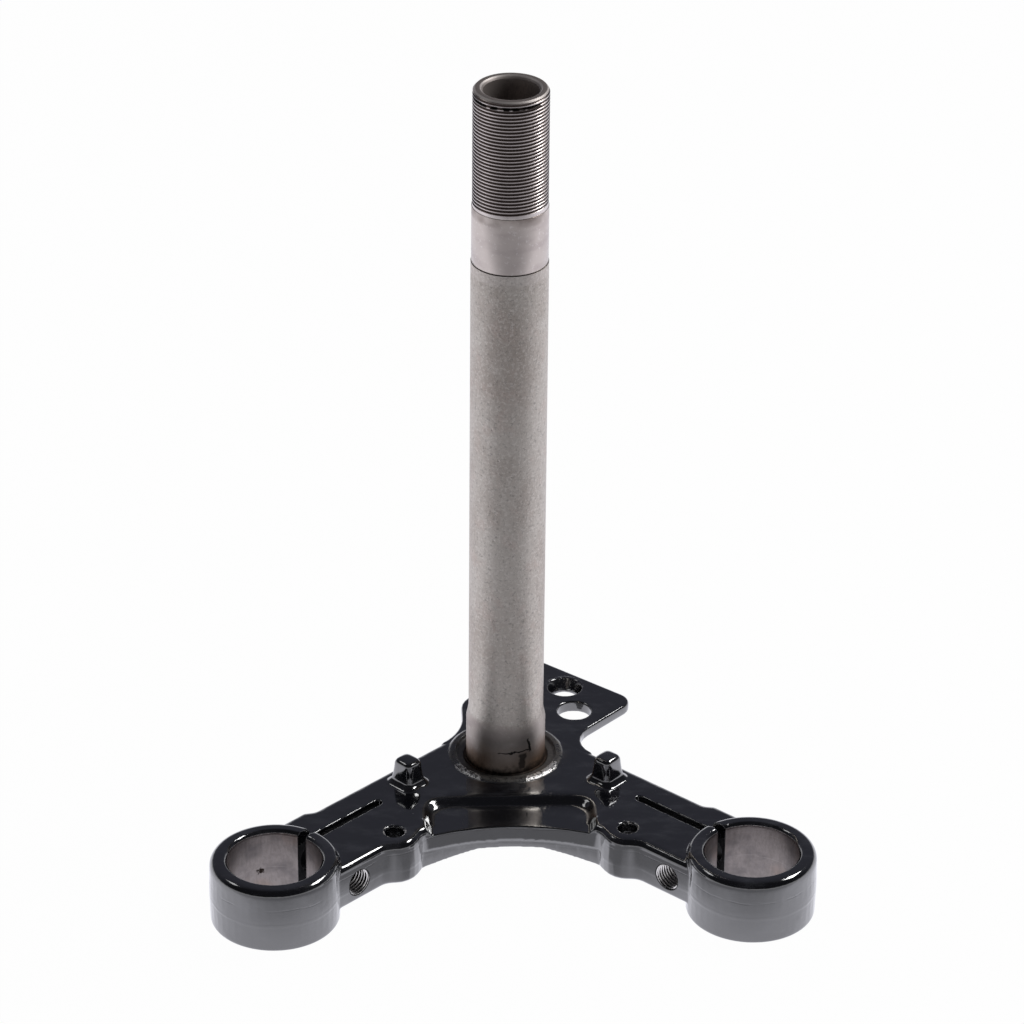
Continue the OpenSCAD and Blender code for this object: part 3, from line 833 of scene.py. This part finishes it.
@dataclass
class ForgedYoke:
    """The forging: its solid with the edges softened by enamel, and its tapped holes' threads.

    Args:
        node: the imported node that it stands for.
        grid: size of the voxels that the surface is rebuilt from.
        weld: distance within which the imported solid's corners are joined.
        passes: rounds of smoothing all over.
        pull: how far one round moves a corner towards its neighbours' middle.
        pocket_passes: more rounds for the pocket over the arch.
        pocket_box: where that pocket lies, in millimetres.
        lug_passes: more rounds for the stop lugs.
        lug_box: where a lug lies.
        faces: most triangles that the surface may keep.
        crisp: angle above which an edge is shaded sharp, in degrees.
        arms: where the arms' features lie.
        tap: thread of the pinch bolts.
        tap_lead: how far the thread's cutter starts ahead of the arm's front face.
        finish: its enamel.
    """

    node: str = "yoke"
    grid: float = 0.4
    weld: float = 0.002
    passes: int = 6
    pull: float = 0.5
    pocket_passes: int = 220
    pocket_box: tuple = ((0, -43.2, 16), (34.5, -23, 22))
    lug_passes: int = 60
    lug_box: tuple = ((26, -28, 24), (45, -8, 32))
    faces: int = 172000
    crisp: float = 50
    arms: ArmLayout = ArmLayout()
    tap: Thread = Thread(crest_r=4.4, root_r=5.02, pitch=1.25, mouth=1.05, floor=0.16, steps=28)
    tap_lead: float = 0.9
    finish: YokeEnamel = field(default_factory=YokeEnamel)

    def build(self) -> bpy.types.Object:
        """Makes the yoke.

        Returns:
            The finished piece.
        """
        piece = self.soften()
        for side in (-1, 1):
            cut(piece, self.tap_tool(side))
        shade(piece, self.crisp)
        return place(piece, self.node, Slot.YOKE, self.finish.material())

    def soften(self) -> bpy.types.Object:
        """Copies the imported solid, rebuilds its surface from voxels and smooths its edges.

        Returns:
            The softened surface.
        """
        body = bmesh.new()
        body.from_mesh(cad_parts[self.node].data)
        bmesh.ops.remove_doubles(body, verts=body.verts, dist=self.weld * MM)
        piece = to_object(body, "forged_yoke")
        rebuild = piece.modifiers.new("rebuild", "REMESH")
        rebuild.mode, rebuild.voxel_size = "VOXEL", self.grid * MM
        settle(piece)
        self.mark(piece, "pocket", *self.pocket_box)
        self.mark(piece, "lugs", *self.lug_box)
        for group, passes in (("pocket", self.pocket_passes), ("lugs", self.lug_passes),
                              ("", self.passes)):
            soften = piece.modifiers.new("soften", "SMOOTH")
            soften.factor, soften.iterations, soften.vertex_group = self.pull, passes, group
        settle(piece)
        thin = piece.modifiers.new("thin", "DECIMATE")
        thin.ratio = self.faces / (2 * len(piece.data.polygons))
        settle(piece)
        return piece

    def mark(self, piece: bpy.types.Object, name: str, low: tuple, high: tuple) -> None:
        """Groups the vertices in a box on either side of the centre plane.

        Args:
            piece: the yoke.
            name: name of the group.
            low: the box's least distance from the centre plane, Y and Z, in millimetres.
            high: its greatest ones.
        """
        group = piece.vertex_groups.new(name=name)
        inside = [v.index for v in piece.data.vertices
                  if all(a <= k <= b for a, k, b in
                         zip(low, (abs(v.co.x) / MM, v.co.y / MM, v.co.z / MM), high))]
        group.add(inside, 1, "REPLACE")

    def tap_tool(self, side: int) -> bpy.types.Object:
        """Groove of one pinch bolt's thread, from outside the arm's front face to the slit.

        Args:
            side: -1 for the left arm, 1 for the right.

        Returns:
            The cutting tool, in place.
        """
        arms = self.arms
        tool = self.tap.cutter("pinch_tap", -arms.front_face - self.tap_lead, arms.slit_middle)
        angle = math.radians(arms.angle)
        rear = Vector((side * math.sin(angle), math.cos(angle), 0))
        along = Vector((-side * math.cos(angle), math.sin(angle), 0))
        start = Vector((side * arms.fork_x, arms.fork_y, arms.pinch_height))
        spot = (start + along * arms.pinch_reach) * MM
        turn = Vector((0, 0, 1)).rotation_difference(rear).to_matrix().to_4x4()
        tool.data.transform(Matrix.Translation(spot) @ turn)
        return tool


@dataclass
class SteeringStem:
    """The pressed-in tube, turned to its seats and threaded.

    Args:
        node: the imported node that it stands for.
        outline: radius and height of each corner of the tube's half section, from its foot.
        sides: facets round the tube.
        edge: size of the broken edges.
        corner: angle above which an edge is broken, in degrees.
        crisp: angle above which an edge is shaded sharp, in degrees.
        thread: the thread for the adjuster nut.
        thread_from: height of the first groove.
        thread_to: height of the last groove, past the tube's end.
        finish: its steel.
    """

    node: str = "steering_stem"
    outline: tuple = (
        (9.5, 0), (15, 0), (15, 20.4), (14.2, 20.4), (14.2, 37), (13.4, 41), (13.4, 218.5),
        (12.9, 218.5), (12.9, 218.8), (13.2, 218.8), (13.2, 239.4), (13, 239.4),
        (13, 281.4), (12.1, 282.3), (10.5, 282.3), (9.5, 281.3),
    )
    sides: int = 144
    edge: float = 0.14
    corner: float = 20
    crisp: float = 35
    thread: Thread = Thread(crest_r=13, root_r=12.3, pitch=1.25, mouth=1.1, floor=0.16, steps=60)
    thread_from: float = 240.3
    thread_to: float = 283
    finish: StemSteel = field(default_factory=StemSteel)

    def build(self) -> bpy.types.Object:
        """Makes the stem.

        Returns:
            The finished piece.
        """
        tube = bmesh.new()
        loop = [tube.verts.new((r * MM, 0, z * MM)) for r, z in self.outline]
        edges = [tube.edges.new((a, b)) for a, b in zip(loop, loop[1:] + loop[:1])]
        bmesh.ops.spin(tube, geom=loop + edges, cent=(0, 0, 0), axis=(0, 0, 1), dvec=(0, 0, 0),
                       angle=2 * math.pi, steps=self.sides, use_merge=True, use_duplicate=False)
        bmesh.ops.recalc_face_normals(tube, faces=tube.faces)
        sharp = [e for e in tube.edges if e.calc_face_angle() > math.radians(self.corner)]
        bmesh.ops.bevel(tube, geom=sharp, offset=self.edge * MM, offset_type="OFFSET", segments=2,
                        profile=0.5, affect="EDGES", clamp_overlap=True, material=-1)
        piece = to_object(tube, "stem_tube")
        cut(piece, self.thread.cutter("stem_die", self.thread_from, self.thread_to))
        shade(piece, self.crisp)
        return place(piece, self.node, Slot.STEM, self.finish.material())


def place(piece: bpy.types.Object, node: str, slot: Slot,
          finish: bpy.types.Material) -> bpy.types.Object:
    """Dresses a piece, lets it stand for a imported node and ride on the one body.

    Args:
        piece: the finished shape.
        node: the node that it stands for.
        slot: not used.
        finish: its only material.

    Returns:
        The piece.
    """
    piece.data.materials.clear()
    piece.data.materials.append(finish)
    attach(piece, "root")
    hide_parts(node)
    log.info("%s: %d faces", piece.name, len(piece.data.polygons))
    return piece


@dataclass(frozen=True)
class Softbox:
    """A rectangular lamp.

    Args:
        name: name of the lamp.
        at: its place, in metres.
        size: its width and height, in metres.
        bright: its brightness, where white paper in full light is 1.
        to: the point that it faces.
    """

    name: str
    at: tuple
    size: tuple
    bright: float
    to: tuple = (0, -0.02, 0.1)

    def build(self) -> None:
        """Makes the lamp."""
        data = bpy.data.lights.new(self.name, "AREA")
        data.shape, data.size, data.size_y = "RECTANGLE", *self.size
        data.energy = self.bright * math.pi * self.size[0] * self.size[1]
        box = bpy.data.objects.new(self.name, data)
        box.location = self.at
        facing = Vector(self.to) - Vector(self.at)
        box.rotation_euler = facing.to_track_quat("-Z", "Y").to_euler()
        bpy.context.scene.collection.objects.link(box)


@dataclass(frozen=True)
class WhiteTable:
    """White table, which shows white and keeps a little of the part's shadow.

    In reflections it is white round the part and falls off towards the camera, as a table
    does that is lit from behind. Its levels in reflections add up to 1 at most.

    Args:
        reach: half the table's side, in metres.
        sunk: how far it lies below the part's feet, in millimetres.
        paper: its colour under the lamps.
        glow: its colour at the full level.
        cover: share of its own shading that the glow hides.
        least: lowest level.
        middle: distances from the centre plane where the middle strip ends and where it is full.
        ahead: places along Y where the table ahead fades in beside the strip, and its level.
        under: the same for the middle strip, which fades in only close under the arch, so that
            ahead of the part it stays dark as a painted shadow.
        around: angles from straight ahead, in radians, where the sides fade in, and their level.
    """

    reach: float = 4
    sunk: float = 0.2
    paper: tuple = (0.9, 0.9, 0.9, 1)
    glow: tuple = (0.97, 0.97, 1.05)
    cover: float = 0.985
    least: float = 0.4
    middle: tuple = (55, 22)
    ahead: tuple = (-150, -85, 0.55)
    under: tuple = (-64, -54, 0.6)
    around: tuple = (0.25, 1.9, 0.6)

    def build(self) -> None:
        """Makes the table."""
        sheet = bmesh.new()
        bmesh.ops.create_grid(sheet, x_segments=1, y_segments=1, size=self.reach)
        bmesh.ops.translate(sheet, verts=sheet.verts, vec=(0, 0, -self.sunk * MM))
        floor = to_object(sheet, "floor")
        floor.data.materials.append(self.material())

    def material(self) -> bpy.types.Material:
        """Builds the nodes.

        Returns:
            The material.
        """
        f = Finish("white_table")
        f.fix(Base_Color=self.paper, Roughness=0.9, Specular_IOR_Level=0.0)
        path = f.node("ShaderNodeLightPath", {})
        seen = f.any_of(path.outputs["Is Camera Ray"], path.outputs["Is Glossy Ray"],
                        path.outputs["Is Transmission Ray"])
        reflected = f.blend(self.level(f), (0, 0, 0), self.glow)
        shown = f.blend(path.outputs["Is Glossy Ray"], (1, 1, 1), reflected)
        glow = f.node("ShaderNodeEmission", {"Color": shown})
        mix = f.node("ShaderNodeMixShader", {0: f.times(seen, self.cover), 1: f.shader.outputs[0],
                                             2: glow.outputs[0]})
        f.tree.links.new(mix.outputs[0], f.output.inputs["Surface"])
        return f.material

    def level(self, f: Finish) -> Socket:
        """How bright the table is in reflections.

        Args:
            f: the finish that is built.

        Returns:
            The level, from 0 to 1.
        """
        aside = f.math("ABSOLUTE", f.x)
        parts = []
        for value, (start, full, amount) in (
                (f.y, self.ahead), (f.y, self.under),
                (f.math("ARCTAN2", aside, f.times(f.y, -1)), self.around)):
            parts.append(f.times(f.fade(value, start, full), amount))
        # Painted shadow of the part: the middle strip stays dark ahead of the part until close
        # under the arch.
        near = f.lerp(f.fade(aside, *self.middle), parts[0], parts[1])
        return f.math("MINIMUM", f.total(self.least, near, parts[2]), 1)


@dataclass(frozen=True)
class Room:
    """Room round the table: white to the camera, else a white backdrop low down and dim above.

    Args:
        low: heights of view, from 0 level to 1 straight up, where the backdrop ends.
        back: the same along Y, where the room goes from its front to its rear.
        front_colour: colour of the room above the backdrop, at the front.
        rear_colour: the same at the rear.
        backdrop: colour of the backdrop.
    """

    low: tuple = (0.24, 0.04)
    back: tuple = (-0.2, 0.7)
    front_colour: tuple = (0.02, 0.02, 0.023, 1)
    rear_colour: tuple = (0.078, 0.08, 0.1, 1)
    backdrop: tuple = (0.75, 0.75, 0.78, 1)

    def build(self) -> None:
        """Makes the room."""
        room = bpy.data.worlds.new("room")
        bpy.context.scene.world = room
        room.use_nodes = True
        tree = room.node_tree
        tree.nodes.clear()
        out = tree.nodes.new("ShaderNodeOutputWorld")
        light = tree.nodes.new("ShaderNodeBackground")
        way = tree.nodes.new("ShaderNodeTexCoord")
        split = tree.nodes.new("ShaderNodeSeparateXYZ")
        path = tree.nodes.new("ShaderNodeLightPath")
        join = tree.links.new
        join(way.outputs["Generated"], split.inputs[0])
        masks = []
        for axis, limits in (("Y", self.back), ("Z", self.low)):
            fade = tree.nodes.new("ShaderNodeMapRange")
            fade.interpolation_type = "SMOOTHSTEP"
            fade.inputs["From Min"].default_value, fade.inputs["From Max"].default_value = limits
            join(split.outputs[axis], fade.inputs[0])
            masks.append(fade.outputs[0])
        masks.append(path.outputs["Is Camera Ray"])
        under = None
        for mask, colour in zip(masks, (self.rear_colour, self.backdrop, (1, 1, 1, 1))):
            mix = tree.nodes.new("ShaderNodeMix")
            mix.data_type = "RGBA"
            join(mask, mix.inputs[MIX_FACTOR])
            mix.inputs[MIX_B].default_value = colour
            if under is None:
                mix.inputs[MIX_A].default_value = self.front_colour
            else:
                join(under, mix.inputs[MIX_A])
            under = mix.outputs[MIX_RESULT]
        join(under, light.inputs["Color"])
        join(light.outputs[0], out.inputs["Surface"])


@dataclass(frozen=True)
class Studio:
    """White table, room, soft lamps and the camera.

    Args:
        lens: focal length in millimetres.
        sensor: width of the sensor in millimetres.
        eye: place of the camera, in metres.
        right: the camera's right.
        up: the camera's up.
        ahead: the camera's direction.
        lamps: the lamps.
        table: the table.
        room: the room.
    """

    lens: float = 160.72
    sensor: float = 36
    eye: tuple = (-0.0635416, -1.3973085, 0.9008775)
    right: tuple = (0.99908636, -0.04193145, 0.0082577)
    up: tuple = (0.01323181, 0.48722708, 0.87317506)
    ahead: tuple = (0.04063687, 0.87226803, -0.48733676)
    lamps: tuple = (Softbox("softbox_right", (0.78, 0.25, 1.1), (0.6, 0.3), 12),
                    Softbox("softbox_left", (-0.8, 0.25, 1.05), (0.4, 0.24), 1.9))
    table: WhiteTable = WhiteTable()
    room: Room = Room()

    def build(self) -> None:
        """Makes the studio."""
        self.camera()
        self.table.build()
        self.room.build()
        for lamp in self.lamps:
            lamp.build()
        bpy.context.scene.view_settings.view_transform = "Standard"

    def camera(self) -> None:
        """Puts the camera at the photograph's place."""
        lens = bpy.data.cameras.new("camera")
        lens.lens, lens.sensor_width = self.lens, self.sensor
        eye = bpy.data.objects.new("camera", lens)
        turn = Matrix((self.right, self.up, [-k for k in self.ahead])).transposed()
        eye.matrix_world = Matrix.Translation(self.eye) @ turn.to_4x4()
        bpy.context.scene.collection.objects.link(eye)
        bpy.context.scene.camera = eye


def main() -> None:
    """Builds the studio and both pieces."""
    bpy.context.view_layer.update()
    Studio().build()
    ForgedYoke().build()
    SteeringStem().build()
    log.info("size written")


if __name__ == "__main__":
    main()
